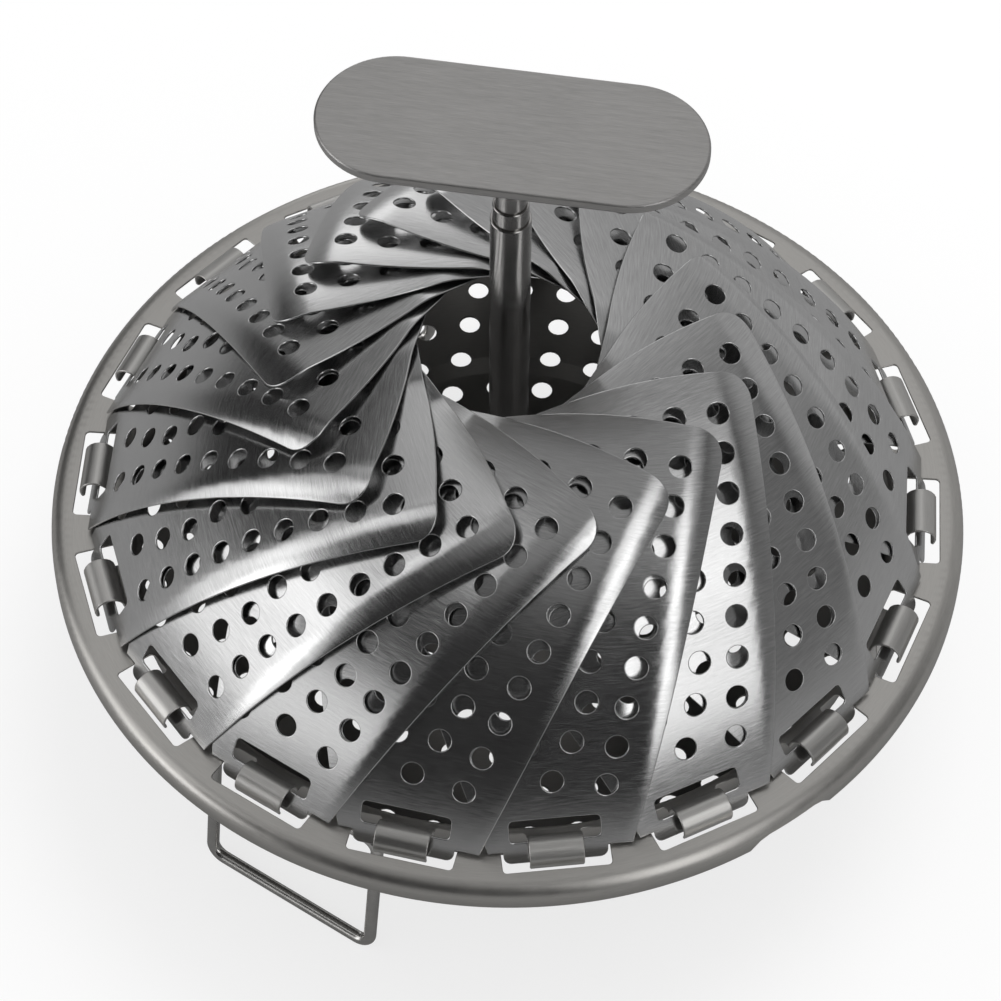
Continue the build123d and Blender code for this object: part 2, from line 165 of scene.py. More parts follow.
def half_width(along):
    """Half the petal's full width at a length from its hinge."""
    return petal_base_half_width + petal_side_slope_share * along


def line_across(start_across, tip_across, place):
    """Where a straight fold line, given at the petal's foot and tip, crosses a place."""
    start = middle_place(strip_start)
    share = (place - start) / (middle_place(petal_length) - start)
    return start_across + (tip_across - start_across) * share


def petal_drop(place, across):
    """How far a point of the petal lies inside its bent middle line."""
    seam = line_across(-hidden_width_share * half_width(strip_start), seam_tip_across, place)
    edge = line_across(half_width(strip_start), half_width(petal_length) - petal_edge_strip,
                       place)
    drop = near_drop_share * soft_ramp(seam - across) - side_rise_share * across
    drop += (far_drop_share - near_drop_share) * soft_ramp(seam - across - seam_width)
    drop += strip_slope_share * soft_ramp(across - edge)
    second = soft_ramp(across - edge - petal_edge_strip / 2)
    return drop + (strip_end_slope_share - strip_slope_share) * second


def petal_surface(flat):
    """Places in space of flat points, each given as across and along."""
    across, along = flat[:, 0], flat[:, 1]
    lean = petal_base_lean + along / petal_arc_radius
    drop = petal_drop(middle_place(along), across)
    spot = np.zeros((len(flat), 3))
    spot[:, 0] = bend_x + petal_arc_radius * np.cos(lean)
    spot[:, 1] = across
    spot[:, 2] = bend_z + petal_arc_radius * np.sin(lean)
    return spot - drop[:, None] * middle_out


def surface_axes(surface, flat):
    """Directions on a surface at flat points: across it, up it and outward."""
    step = 0.05 * MM
    shifts = (np.array([step, 0]), np.array([0, step]))
    side, up = [surface(flat + s) - surface(flat - s) for s in shifts]
    out = np.cross(side, up)
    out /= np.linalg.norm(out, axis=1)[:, None]
    side /= np.linalg.norm(side, axis=1)[:, None]
    up /= np.linalg.norm(up, axis=1)[:, None]
    return side, up, out


def arc_points(centre, radius, start, end, count):
    turns = np.linspace(start, end, count)
    return [(centre[0] + radius * math.cos(t), centre[1] + radius * math.sin(t)) for t in turns]


def end_corner(share, side):
    """Rounded corner between one straight side and the curved end, from side to end."""
    slope = share * petal_side_slope_share
    base = share * petal_base_half_width
    reach = fan_centre_distance + petal_length - petal_corner_radius
    lean = math.hypot(1, slope)
    near = base - petal_corner_radius * lean
    a = 1 + slope * slope
    b = fan_centre_distance + slope * near
    c = fan_centre_distance ** 2 + near * near - reach * reach
    along = (-b + math.sqrt(b * b - a * c)) / a
    centre = (near + slope * along, along)
    start = math.atan2(-slope, 1)
    end = math.atan2(along + fan_centre_distance, centre[0])
    points = arc_points(centre, petal_corner_radius, start, end, end_corner_steps)
    return [(side * x, y) for x, y in points]


def spread(points, pitch=mesh_pitch):
    """The same outline with its long runs divided."""
    result = []
    for start, end in zip(points, points[1:] + points[:1]):
        run = math.dist(start, end)
        parts = max(1, round(run / pitch))
        for i in range(parts):
            t = i / parts
            result.append((start[0] + (end[0] - start[0]) * t, start[1] + (end[1] - start[1]) * t))
    return result


def petal_outline():
    """The petal's outline, anticlockwise, as across and along."""
    foot = -bar_height / 2
    right = end_corner(1, 1)
    left = end_corner(hidden_width_share, -1)[::-1]
    ends = [math.atan2(p[1] + fan_centre_distance, p[0]) for p in (right[-1], left[0])]
    curved = arc_points((0, -fan_centre_distance), fan_centre_distance + petal_length,
                        ends[0], ends[1], curved_end_steps)[1:-1]
    inner = tongue_half_width - tongue_corner_radius
    low = foot + tongue_corner_radius
    toe_left = arc_points((-inner, low), tongue_corner_radius, math.pi, 1.5 * math.pi,
                          tongue_corner_steps)
    toe_right = arc_points((inner, low), tongue_corner_radius, 1.5 * math.pi, 2 * math.pi,
                           tongue_corner_steps)
    shoulder = half_width(shoulder_rise)
    points = [(shoulder, shoulder_rise)] + right + curved + left
    points += [(-hidden_width_share * shoulder, shoulder_rise)]
    points += [(-tongue_half_width, shoulder_rise)] + toe_left + toe_right
    points += [(tongue_half_width, shoulder_rise)]
    return spread(points)


def slot_outline():
    """The slot over the hinge bar, clockwise."""
    x = slot_size[0] / 2 - slot_corner_radius
    low = bar_height / 2 + slot_corner_radius
    high = bar_height / 2 + slot_size[1] - slot_corner_radius
    corners = ((x, low, 0), (-x, low, -0.5), (-x, high, -1), (x, high, -1.5))
    points = []
    for cx, cy, turn in corners:
        start = turn * math.pi
        points += arc_points((cx, cy), slot_corner_radius, start, start - math.pi / 2,
                             small_bend_steps)
    return spread(points)


def hole_centres():
    """The petal's holes, in rows that are arcs about the fan's centre."""
    centres = []
    for row in range(row_count):
        distance = first_row_distance + row * row_pitch
        reach = distance * math.sin(row_edge_angle)
        count = round(2 * reach / row_hole_spacing) + 1
        for index in range(count):
            across = reach * (2 * index / (count - 1) - 1)
            along = math.sqrt(distance ** 2 - across ** 2) - fan_centre_distance
            centres.append((across, along))
    return centres


def void_directions(loop):
    """Unit directions out of the sheet at each point of a loop that has it on the left."""
    loop = np.array(loop)
    run = np.roll(loop, -1, axis=0) - np.roll(loop, 1, axis=0)
    run /= np.linalg.norm(run, axis=1)[:, None]
    return np.stack([run[:, 1], -run[:, 0]], axis=1)


def inside(points, loop):
    """Which points lie inside a closed loop."""
    loop = np.array(loop)
    following = np.roll(loop, -1, axis=0)
    x, y = points[:, :1], points[:, 1:]
    crosses = (loop[:, 1] > y) != (following[:, 1] > y)
    rise = np.where(following[:, 1] == loop[:, 1], 1, following[:, 1] - loop[:, 1])
    cut = loop[:, 0] + (y - loop[:, 1]) * (following[:, 0] - loop[:, 0]) / rise
    return (crosses & (x < cut)).sum(axis=1) % 2 == 1


def inside_many(points, loops):
    """Which points lie inside any of several small loops."""
    found = np.zeros(len(points), dtype=bool)
    for loop in loops:
        low, high = loop.min(axis=0), loop.max(axis=0)
        near = np.nonzero(((points > low) & (points < high)).all(axis=1))[0]
        if len(near):
            found[near] |= inside(points[near], loop)
    return found


def staggered(low, high, pitch):
    """A staggered grid of flat points."""
    points = []
    for number, y in enumerate(np.arange(low[1], high[1], pitch * math.sqrt(3) / 2)):
        shift = pitch / 2 * (number % 2)
        points += [(x + shift, y) for x in np.arange(low[0], high[0], pitch)]
    return np.array(points)


def clear_of_edges(points, loops, room):
    """The points inside the first loop, outside the others and clear of every edge."""
    edges = np.concatenate(loops)
    tree = KDTree(len(edges))
    for index, (x, y) in enumerate(edges):
        tree.insert((x, y, 0), index)
    tree.balance()
    points = points[inside(points, loops[0])]
    points = points[~inside_many(points, loops[1:])]
    gaps = np.array([tree.find((x, y, 0))[2] for x, y in points])
    return points[gaps > room]


def sheet_data(loops, fill, room, surface, thickness):
    """Vertices, normals, flat places and faces of a thin sheet with rounded edges. The
    first loop is its outline, anticlockwise, and the others are its openings, clockwise."""
    loops = [np.array(loop) for loop in loops]
    voids = [void_directions(loop) for loop in loops]
    loops = [loop - edge_rounding * void for loop, void in zip(loops, voids)]
    points = np.concatenate(loops + [clear_of_edges(fill, loops, room)])
    starts = np.cumsum([0] + [len(loop) for loop in loops])
    edges = []
    for start, loop in zip(starts, loops):
        count = len(loop)
        edges += [(int(start + i), int(start + (i + 1) % count)) for i in range(count)]
    result = delaunay_2d_cdt([Vector(p) / MM for p in points], edges, [], 0, same_point_gap)
    if len(result[0]) != len(points):
        raise ValueError("an outline crosses itself")
    triangles = np.array([list(face) for face in result[2]])
    middles = points[triangles].mean(axis=1)
    triangles = triangles[inside(middles, loops[0]) & ~inside_many(middles, loops[1:])]
    a, b, c = (points[triangles[:, i]] for i in range(3))
    turn = (b - a)[:, 0] * (c - a)[:, 1] - (b - a)[:, 1] * (c - a)[:, 0]
    triangles[turn < 0] = triangles[turn < 0][:, ::-1]
    side, up, out = surface_axes(surface, points)
    middle = surface(points)
    half = thickness / 2
    verts = [middle + half * out, middle - half * out]
    normals, flats = [out, -out], [points, points]
    count = len(points)
    faces = [tuple(t) for t in triangles] + [tuple(t[::-1] + count) for t in triangles]
    next_index = 2 * count
    for loop, void, start in zip(loops, voids, starts):
        size = len(loop)
        span = slice(start, start + size)
        way = void[:, :1] * side[span] + void[:, 1:] * up[span]
        rows = [np.arange(start, start + size)]
        for step in range(1, rim_steps):
            turn = math.pi * step / rim_steps
            spot = middle[span] + edge_rounding * math.sin(turn) * way
            verts.append(spot + half * math.cos(turn) * out[span])
            normal = way * math.sin(turn) + out[span] * math.cos(turn)
            normals.append(normal / np.linalg.norm(normal, axis=1)[:, None])
            flats.append(loop + edge_rounding * math.sin(turn) * void)
            rows.append(np.arange(next_index, next_index + size))
            next_index += size
        rows.append(rows[0] + count)
        for high, low in zip(rows, rows[1:]):
            for i in range(size):
                j = (i + 1) % size
                faces.append((high[i], low[i], low[j], high[j]))
    return np.concatenate(verts), np.concatenate(normals), np.concatenate(flats), faces


def circle_loop(centre, radius, sides):
    """A round opening, clockwise."""
    turns = -2 * math.pi * np.arange(sides) / sides
    return np.array(centre) + radius * np.stack([np.cos(turns), np.sin(turns)], axis=1)


def petal_mesh_data():
    """One petal, hinged at +X."""
    loops = [petal_outline(), slot_outline()]
    loops += [circle_loop(centre, petal_hole_radius, hole_sides) for centre in hole_centres()]
    low, high = np.min(loops[0], axis=0), np.max(loops[0], axis=0)
    fill = staggered(low, high, mesh_pitch)
    room = mesh_pitch * fill_room_share
    return sheet_data(loops, fill, room, petal_surface, petal_sheet)


# Dish: one pressed sheet, laid flat as a disc whose radius runs along its profile

def bent_profile(corners, radii, steps):
    """Points along a bent middle line, with each bend divided into steps."""
    corners = [np.array(c, dtype=float) for c in corners]
    points = [corners[0]]
    for index, radius in enumerate(radii):
        before, corner, after = corners[index:index + 3]
        come = (corner - before) / np.linalg.norm(corner - before)
        leave = (after - corner) / np.linalg.norm(after - corner)
        turn = math.acos(np.clip(come @ leave, -1, 1))
        setback = radius * math.tan(turn / 2)
        side = np.sign(come[0] * leave[1] - come[1] * leave[0])
        centre = corner - come * setback + side * radius * np.array([-come[1], come[0]])
        start = corner - come * setback - centre
        for step in range(steps + 1):
            angle = side * turn * step / steps
            c, s = math.cos(angle), math.sin(angle)
            points.append(centre + np.array([c * start[0] - s * start[1],
                                             s * start[0] + c * start[1]]))
    return np.array(points + [corners[-1]])


def make_profile():
    """Middle line of the dish's sheet, as radius and height."""
    half = dish_sheet / 2
    top = flange_height - half
    corners = [
        (0, centre_floor_top - half), (floor_step_radii[0], centre_floor_top - half),
        (floor_step_radii[1], floor_top - half), (wall_foot_radius, floor_top - half),
        (wall_top_radius, top), (rim_radius - half, top),
        (rim_radius - half, flange_height - rim_skirt_depth),
    ]
    return bent_profile(corners, dish_bend_radii, bend_steps)


dish_line = make_profile()
dish_runs = np.concatenate([[0], np.cumsum(np.linalg.norm(np.diff(dish_line, axis=0), axis=1))])


def dish_surface(flat):
    """Places in space of flat points on the disc. Past the ends the line runs on straight."""
    run = np.linalg.norm(flat, axis=1)
    way = flat / np.maximum(run, 1e-9)[:, None]
    last = np.clip(np.searchsorted(dish_runs, run) - 1, 0, len(dish_runs) - 2)
    length = dish_runs[last + 1] - dish_runs[last]
    share = ((run - dish_runs[last]) / length)[:, None]
    spot = dish_line[last] * (1 - share) + dish_line[last + 1] * share
    return np.stack([way[:, 0] * spot[:, 0], way[:, 1] * spot[:, 0], spot[:, 1]], axis=1)


def flat_of(radius, from_flange=False):
    """Distance along the dish's line at which it reaches a radius."""
    if from_flange:
        middle = int(np.argmax(dish_line[:, 1] > flange_height - dish_sheet / 2 - 0.001 * MM))
        return dish_runs[middle] + radius - dish_line[middle, 0]
    return np.interp(radius, dish_line[:bend_steps * 3, 0], dish_runs[:bend_steps * 3])


def window_loop(number):
    """A window with a tab on its inner edge, clockwise, as flat places on the disc."""
    inner = wall_top_radius + dish_bend_radii[3] + dish_sheet / 2
    outer = math.sqrt(window_corner_radius ** 2 - window_half_width ** 2)
    r, w, h = window_bend_radius, window_half_width, hook_width / 2
    corners = (
        (outer - r, w - r, 0.5, 0.0), (outer - r, r - w, 0.0, -0.5),
        (inner + r, r - w, -0.5, -1.0),
    )
    points = []
    for x, y, start, end in corners:
        points += arc_points((x, y), r, start * math.pi, end * math.pi, small_bend_steps)
    points += [(inner, -h - tab_bend), (inner + tab_bend, -h), (tab_end, -h), (tab_end, h)]
    points += [(inner + tab_bend, h), (inner, h + tab_bend)]
    points += arc_points((inner + r, w - r), r, math.pi, 0.5 * math.pi, small_bend_steps)
    turn = 2 * math.pi * number / petal_count
    loop = []
    for x, y in spread(points):
        run = flat_of(math.hypot(x, y), True)
        angle = math.atan2(y, x) + turn
        loop.append((run * math.cos(angle), run * math.sin(angle)))
    return loop


def near_clip(x, y):
    """Whether a floor hole would run into a leg's clip."""
    for index in range(leg_count):
        angle = 2 * math.pi * index / leg_count
        out = x * math.cos(angle) + y * math.sin(angle)
        side = y * math.cos(angle) - x * math.sin(angle)
        room = floor_hole_radius + hole_margin
        if out > leg_clip_inner_radius - room and abs(side) < leg_clip_half_width + room:
            return True
    return False


def dish_round_loops():
    """Floor holes in rings, rivet holes and the screw's hole."""
    places = [(0, 0, screw_radius)]
    for index in range(1, floor_ring_count + 1):
        radius, count = index * floor_hole_pitch, 6 * index
        for step in range(count):
            angle = floor_hole_start + 2 * math.pi * step / count
            x, y = radius * math.cos(angle), radius * math.sin(angle)
            if not near_clip(x, y):
                places.append((x, y, floor_hole_radius))
    for index in range(leg_count):
        turn = 2 * math.pi * index / leg_count
        for side in (-rivet_spread, rivet_spread):
            angle = math.atan2(side, rivet_place) + turn
            reach = math.hypot(side, rivet_place)
            places.append((reach * math.cos(angle), reach * math.sin(angle), rivet_radius))
    loops = []
    for x, y, radius in places:
        reach = math.hypot(x, y)
        scale = flat_of(reach) / reach if reach else 1
        loops.append(circle_loop((x * scale, y * scale), radius, floor_hole_sides))
    return loops


def rim_edge():
    """The rim's lower edge, anticlockwise, with the notch in its skirt."""
    loop = []
    full = dish_runs[-1]
    for step in range(rim_sides):
        angle = 2 * math.pi * step / rim_sides
        gap = (angle - notch_angle + math.pi) % (2 * math.pi) - math.pi
        beside = abs(gap) * rim_radius - notch_half_width
        share = np.clip(1 - beside / notch_shoulder, 0, 1)
        share = share * share * (3 - 2 * share)
        run = full - (rim_skirt_depth - rim_bend_radius) * share
        loop.append((run * math.cos(angle), run * math.sin(angle)))
    return loop


def dish_fill():
    """Fill points: rings that are close together on the bends and wider on the flats."""
    runs = [0.0]
    for start, end in zip(dish_runs, dish_runs[1:]):
        parts = max(1, round((end - start) / dish_mesh_pitch))
        runs += [start + (end - start) * i / parts for i in range(1, parts + 1)]
    points = []
    for number, run in enumerate(runs[1:-1]):
        count = max(6, round(2 * math.pi * run / dish_mesh_pitch))
        turns = 2 * math.pi * (np.arange(count) + 0.5 * (number % 2)) / count
        points += [(run * math.cos(t), run * math.sin(t)) for t in turns]
    return np.array(points)


def dish_mesh_data():
    """The dish's sheet with its holes and windows."""
    loops = [rim_edge()] + dish_round_loops()
    loops += [window_loop(number) for number in range(petal_count)]
    room = dish_mesh_pitch * dish_fill_room_share
    return sheet_data(loops, dish_fill(), room, dish_surface, dish_sheet)


def hook_line():
    """Middle line of a hook: from the window's tab, up and over the hinge bar."""
    reach = bar_height / 2 + hook_clearance + dish_sheet / 2
    level = flange_height - dish_sheet / 2
    root = hinge_radius - reach
    points = [(tab_end - hook_root_overlap, level)]
    points += arc_points((root - hook_foot_bend, level + hook_foot_bend), hook_foot_bend,
                         -0.5 * math.pi, 0, small_bend_steps + 1)
    points += arc_points((hinge_radius, hinge_height), reach, math.pi, hook_end, hook_bend_steps)
    return np.array(points)


hook_points = hook_line()


def hook_surface(flat):
    """Places in space of flat points on the hook's strip."""
    runs = np.concatenate([[0], np.cumsum(np.linalg.norm(np.diff(hook_points, axis=0), axis=1))])
    last = np.clip(np.searchsorted(runs, flat[:, 1]) - 1, 0, len(runs) - 2)
    share = ((flat[:, 1] - runs[last]) / (runs[last + 1] - runs[last]))[:, None]
    spot = hook_points[last] * (1 - share) + hook_points[last + 1] * share
    return np.stack([spot[:, 0], flat[:, 0], spot[:, 1]], axis=1)


def hook_mesh_data():
    """One hook strip with rounded end corners."""
    length = np.linalg.norm(np.diff(hook_points, axis=0), axis=1).sum()
    half, r = hook_width / 2, hook_corner_radius
    points = [(-half, 0), (half, 0)]
    points += arc_points((half - r, length - r), r, 0, 0.5 * math.pi, small_bend_steps)
    points += arc_points((r - half, length - r), r, 0.5 * math.pi, math.pi, small_bend_steps)
    fill = staggered((-half, 0), (half, length), hook_mesh_pitch)
    outline = spread(points, hook_mesh_pitch)
    room = hook_mesh_pitch * hook_fill_room_share
    return sheet_data([outline], fill, room, hook_surface, hook_sheet)


def turned(points, angle):
    """The points turned about the post's axis."""
    c, s = math.cos(angle), math.sin(angle)
    return points @ np.array([[c, s, 0], [-s, c, 0], [0, 0, 1]])


def add_piece(name, verts, faces, material, normals, flats, body="base"):
    """A piece from plain lists, with smooth shading and its flat places as UV."""
    mesh = bpy.data.meshes.new(name)
    mesh.from_pydata([tuple(v) for v in verts], [], [tuple(int(i) for i in f) for f in faces])
    mesh.polygons.foreach_set("use_smooth", [True] * len(mesh.polygons))
    layer = mesh.uv_layers.new(name="flat")
    indices = np.zeros(len(mesh.loops), dtype=int)
    mesh.loops.foreach_get("vertex_index", indices)
    layer.data.foreach_set("uv", np.asarray(flats)[indices].ravel().astype("f"))
    mesh.materials.append(material)
    mesh.update()
    mesh.normals_split_custom_set_from_vertices([tuple(n) for n in normals])
    piece = bpy.data.objects.new(name, mesh)
    bpy.context.scene.collection.objects.link(piece)
    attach(piece, body)
    return piece


# Finishes

fine_lines = (0.04, 6500.0, 3.0, 0.65)
broad_stretch = 0.08
broad_noise = (3.0, 0.6)
cloud_noise = (40.0, 3.0, 0.55)
noise_layers = (0.0, 7.0, 3.0)
wear_shares = (0.5, 0.3, 0.2)
wear_range = (0.3, 0.7)
dark_tone_share = 0.16
pale_tone_share = 0.07
palest_tone = 0.95
brush_depth = 0.00002
# painted shade: the dish's floor is darkened to this share of its colour, between these margins
painted_floor_shade_tone = 0.42
painted_floor_shade_margins = (2 * MM, 1.5 * MM)
turning_radius = 0.085
tube_turning_radius = 0.004


def new_material(name):
    material = bpy.data.materials.new(name)
    material.use_nodes = True
    tree = material.node_tree
    return material, tree, tree.nodes["Principled BSDF"]


def math_node(tree, operation, first, second=None):
    node = tree.nodes.new("ShaderNodeMath")
    node.operation = operation
    for socket, value in zip(node.inputs, (first, second)):
        if value is None:
            continue
        if isinstance(value, (int, float)):
            socket.default_value = value
        else:
            tree.links.new(value, socket)
    return node.outputs[0]


def noise(tree, vector, scale, detail, rough):
    node = tree.nodes.new("ShaderNodeTexNoise")
    node.inputs["Scale"].default_value = scale
    node.inputs["Detail"].default_value = detail
    node.inputs["Roughness"].default_value = rough
    tree.links.new(vector, node.inputs["Vector"])
    return node.outputs["Fac"]


def join_vector(tree, x, y, z):
    node = tree.nodes.new("ShaderNodeCombineXYZ")
    for socket, value in zip(node.inputs, (x, y, z)):
        if isinstance(value, (int, float)):
            socket.default_value = value
        else:
            tree.links.new(value, socket)
    return node.outputs[0]


def map_range(tree, value, low, high, to_low, to_high):
    node = tree.nodes.new("ShaderNodeMapRange")
    tree.links.new(value, node.inputs["Value"])
    for name, number in (("From Min", low), ("From Max", high), ("To Min", to_low),
                         ("To Max", to_high)):
        node.inputs[name].default_value = number
    return node.outputs["Result"]


def brushed_steel(name, colour, lines, strength=0.25, roughness=0.3, spread_share=0.12,
                  anisotropy=0.5, tangent=None, tangent_turn=0.0, coarse=2500.0, contrast=1.0,
                  painted_shade_part=None):
    """Steel with fine brushed lines. lines(tree) gives a vector whose first part runs
    along the lines and whose second crosses them, both in metres."""
    material, tree, shader = new_material(name)
    along, cross = lines(tree)
    stretch, *fine_noise = fine_lines
    layers = []
    for share, layer, numbers in ((stretch, noise_layers[0], fine_noise),
                                  (broad_stretch, noise_layers[1], (coarse, *broad_noise)),
                                  (None, noise_layers[2], cloud_noise)):
        run = along if share is None else math_node(tree, "MULTIPLY", along, share)
        layers.append(noise(tree, join_vector(tree, run, cross, layer), *numbers))
    fine, broad, cloud = layers
    wear = math_node(tree, "ADD", math_node(tree, "MULTIPLY", fine, wear_shares[0]),
                     math_node(tree, "MULTIPLY", broad, wear_shares[1]))
    wear = math_node(tree, "ADD", wear, math_node(tree, "MULTIPLY", cloud, wear_shares[2]))
    ramp = tree.nodes.new("ShaderNodeMix")
    ramp.data_type = "RGBA"
    tree.links.new(map_range(tree, wear, *wear_range, 0.0, 1.0), ramp.inputs["Factor"])
    dark = [c * (1 - dark_tone_share * contrast) for c in colour]
    pale = [min(c * (1 + pale_tone_share * contrast), palest_tone) for c in colour]
    for socket, tone in zip([s for s in ramp.inputs if s.type == "RGBA"], (dark, pale)):
        socket.default_value = (*tone, 1.0)
    result = [s for s in ramp.outputs if s.type == "RGBA"][0]
    # painted shade: the colour is darkened where the given part is 1
    if painted_shade_part is not None:
        result = darkened(tree, result, painted_shade_part(tree))
    tree.links.new(result, shader.inputs["Base Color"])
    tree.links.new(map_range(tree, wear, *wear_range, roughness - spread_share / 2,
                             roughness + spread_share / 2), shader.inputs["Roughness"])
    bump = tree.nodes.new("ShaderNodeBump")
    bump.inputs["Strength"].default_value = strength
    bump.inputs["Distance"].default_value = brush_depth
    tree.links.new(fine, bump.inputs["Height"])
    tree.links.new(bump.outputs["Normal"], shader.inputs["Normal"])
    shader.inputs["Metallic"].default_value = 1.0
    shader.inputs["Anisotropic"].default_value = anisotropy
    if tangent is not None:
        tree.links.new(tangent(tree), shader.inputs["Tangent"])
        shader.inputs["Anisotropic Rotation"].default_value = tangent_turn
    return material


def darkened(tree, colour, share):
    """The colour with painted shade, darker where the share is 1."""
    mix = tree.nodes.new("ShaderNodeMix")
    mix.data_type = "RGBA"
    mix.blend_type = "MULTIPLY"
    tree.links.new(share, mix.inputs["Factor"])
    first, second = [s for s in mix.inputs if s.type == "RGBA"]
    tree.links.new(colour, first)
    second.default_value = (painted_floor_shade_tone, painted_floor_shade_tone, painted_floor_shade_tone, 1.0)
    return [s for s in mix.outputs if s.type == "RGBA"][0]


def painted_floor_shade_share(tree):
    """Painted shade: 1 on the dish's floor, which it darkens, and 0 on its rim."""
    z = object_parts(tree)[2]
    return map_range(tree, z, floor_top + painted_floor_shade_margins[0], flange_height - painted_floor_shade_margins[1],
                     1.0, 0.0)


def across_lines(tree):
    """Lines that run across a petal, from its flat places."""
    node = tree.nodes.new("ShaderNodeUVMap")
    node.uv_map = "flat"
    parts = tree.nodes.new("ShaderNodeSeparateXYZ")
    tree.links.new(node.outputs["UV"], parts.inputs[0])
    return parts.outputs["X"], parts.outputs["Y"]


def flat_tangent(tree):
    """The direction of a sheet's flat first axis."""
    node = tree.nodes.new("ShaderNodeTangent")
    node.direction_type = "UV_MAP"
    node.uv_map = "flat"
    return node.outputs["Tangent"]


def object_parts(tree):
    """The three parts of the place on the piece."""
    node = tree.nodes.new("ShaderNodeTexCoord")
    parts = tree.nodes.new("ShaderNodeSeparateXYZ")
    tree.links.new(node.outputs["Object"], parts.inputs[0])
    return parts.outputs


def round_lines(tree):
    """Lines that run round the post's axis."""
    x, y, z = object_parts(tree)
    radius = math_node(tree, "SQRT", math_node(tree, "ADD", math_node(tree, "MULTIPLY", x, x),
                                               math_node(tree, "MULTIPLY", y, y)))
    angle = math_node(tree, "ARCTAN2", y, x)
    along = math_node(tree, "MULTIPLY", angle, turning_radius)
    return along, math_node(tree, "ADD", radius, z)


def outward_tangent(tree):
    """The direction straight away from the post's axis."""
    x, y = object_parts(tree)[:2]
    node = tree.nodes.new("ShaderNodeVectorTransform")
    node.vector_type = "VECTOR"
    node.convert_from, node.convert_to = "OBJECT", "WORLD"
    tree.links.new(join_vector(tree, x, y, 0.0), node.inputs[0])
    return node.outputs[0]


def turned_lines(angle):
    """Lines that run straight along a direction in the ground plane."""
    def lines(tree):
        x, y, z = object_parts(tree)
        c, s = math.cos(angle), math.sin(angle)
        along = math_node(tree, "ADD", math_node(tree, "MULTIPLY", x, c),
                          math_node(tree, "MULTIPLY", y, s))
        cross = math_node(tree, "SUBTRACT", math_node(tree, "MULTIPLY", y, c),
                          math_node(tree, "MULTIPLY", x, s))
        return along, math_node(tree, "ADD", cross, z)
    return lines


def height_lines(tree):
    """Fine lines that run up an upright tube."""
    x, y, z = object_parts(tree)
    angle = math_node(tree, "ARCTAN2", y, x)
    return z, math_node(tree, "MULTIPLY", angle, tube_turning_radius)


plate_angle = math.radians(-5.2)
petal_steel = brushed_steel("petal steel", (0.7, 0.7, 0.7), across_lines, 0.35, 0.21, 0.14, 0.6,
                            flat_tangent, 0.25, contrast=1.7)
# the dish's floor gets painted shade, so it is darker than its rim
dish_steel = brushed_steel("dish steel", (0.6, 0.585, 0.56), round_lines, 0.3, 0.36, 0.12, 0.4,
                           outward_tangent, painted_shade_part=painted_floor_shade_share)
hook_steel = brushed_steel("hook steel", (0.66, 0.65, 0.63), across_lines, 0.25, 0.36, 0.1, 0.3,
                           flat_tangent, 0.25)
plate_steel = brushed_steel("plate steel", (0.54, 0.53, 0.52), turned_lines(plate_angle), 0.6,
                            0.42, 0.16, 0.0, coarse=1100.0, contrast=2.2)
tube_steel = brushed_steel("tube steel", (0.5, 0.49, 0.48), height_lines, 0.05, 0.2, 0.06, 0.0)
wire_steel = brushed_steel("wire steel", (0.68, 0.67, 0.65), height_lines, 0.1, 0.24, 0.08, 0.0)
small_steel = brushed_steel("small steel", (0.6, 0.59, 0.57), height_lines, 0.15, 0.3, 0.1, 0.0)


# CAD nodes that stay: loose triangles joined for smooth shading, corners kept sharp

def smoothing_tree(limit):
    """Smooth shading except across edges sharper than the limit."""
    tree = bpy.data.node_groups.new("Soft shading", "GeometryNodeTree")
    tree.interface.new_socket("Geometry", in_out="INPUT", socket_type="NodeSocketGeometry")
    tree.interface.new_socket("Geometry", in_out="OUTPUT", socket_type="NodeSocketGeometry")
    start = tree.nodes.new("NodeGroupInput")
    end = tree.nodes.new("NodeGroupOutput")
    merge = tree.nodes.new("GeometryNodeMergeByDistance")
    merge.inputs["Distance"].default_value = weld_distance
    angle = tree.nodes.new("GeometryNodeInputMeshEdgeAngle")
    compare = tree.nodes.new("FunctionNodeCompare")
    compare.operation = "LESS_THAN"
    compare.inputs[1].default_value = limit
    smooth_faces = tree.nodes.new("GeometryNodeSetShadeSmooth")
    smooth_edges = tree.nodes.new("GeometryNodeSetShadeSmooth")
    smooth_edges.domain = "EDGE"
    links = tree.links
    links.new(start.outputs[0], merge.inputs["Geometry"])
    links.new(merge.outputs[0], smooth_faces.inputs["Geometry"])
    links.new(smooth_faces.outputs[0], smooth_edges.inputs["Geometry"])
    links.new(angle.outputs["Unsigned Angle"], compare.inputs[0])
    links.new(compare.outputs[0], smooth_edges.inputs["Shade Smooth"])
    links.new(smooth_edges.outputs[0], end.inputs[0])
    return tree


soft_shading = smoothing_tree(corner_limit)


def finish_node(name, material):
    """Gives a CAD node its steel and smooth shading."""
    node = nodes[name]
    node.data.materials.clear()
    node.data.materials.append(material)
    for polygon in node.data.polygons:
        polygon.material_index = 0
    shading = node.modifiers.new("soft shading", "NODES")
    shading.node_group = soft_shading
    weighted = node.modifiers.new("weighted normals", "WEIGHTED_NORMAL")
    weighted.keep_sharp = True


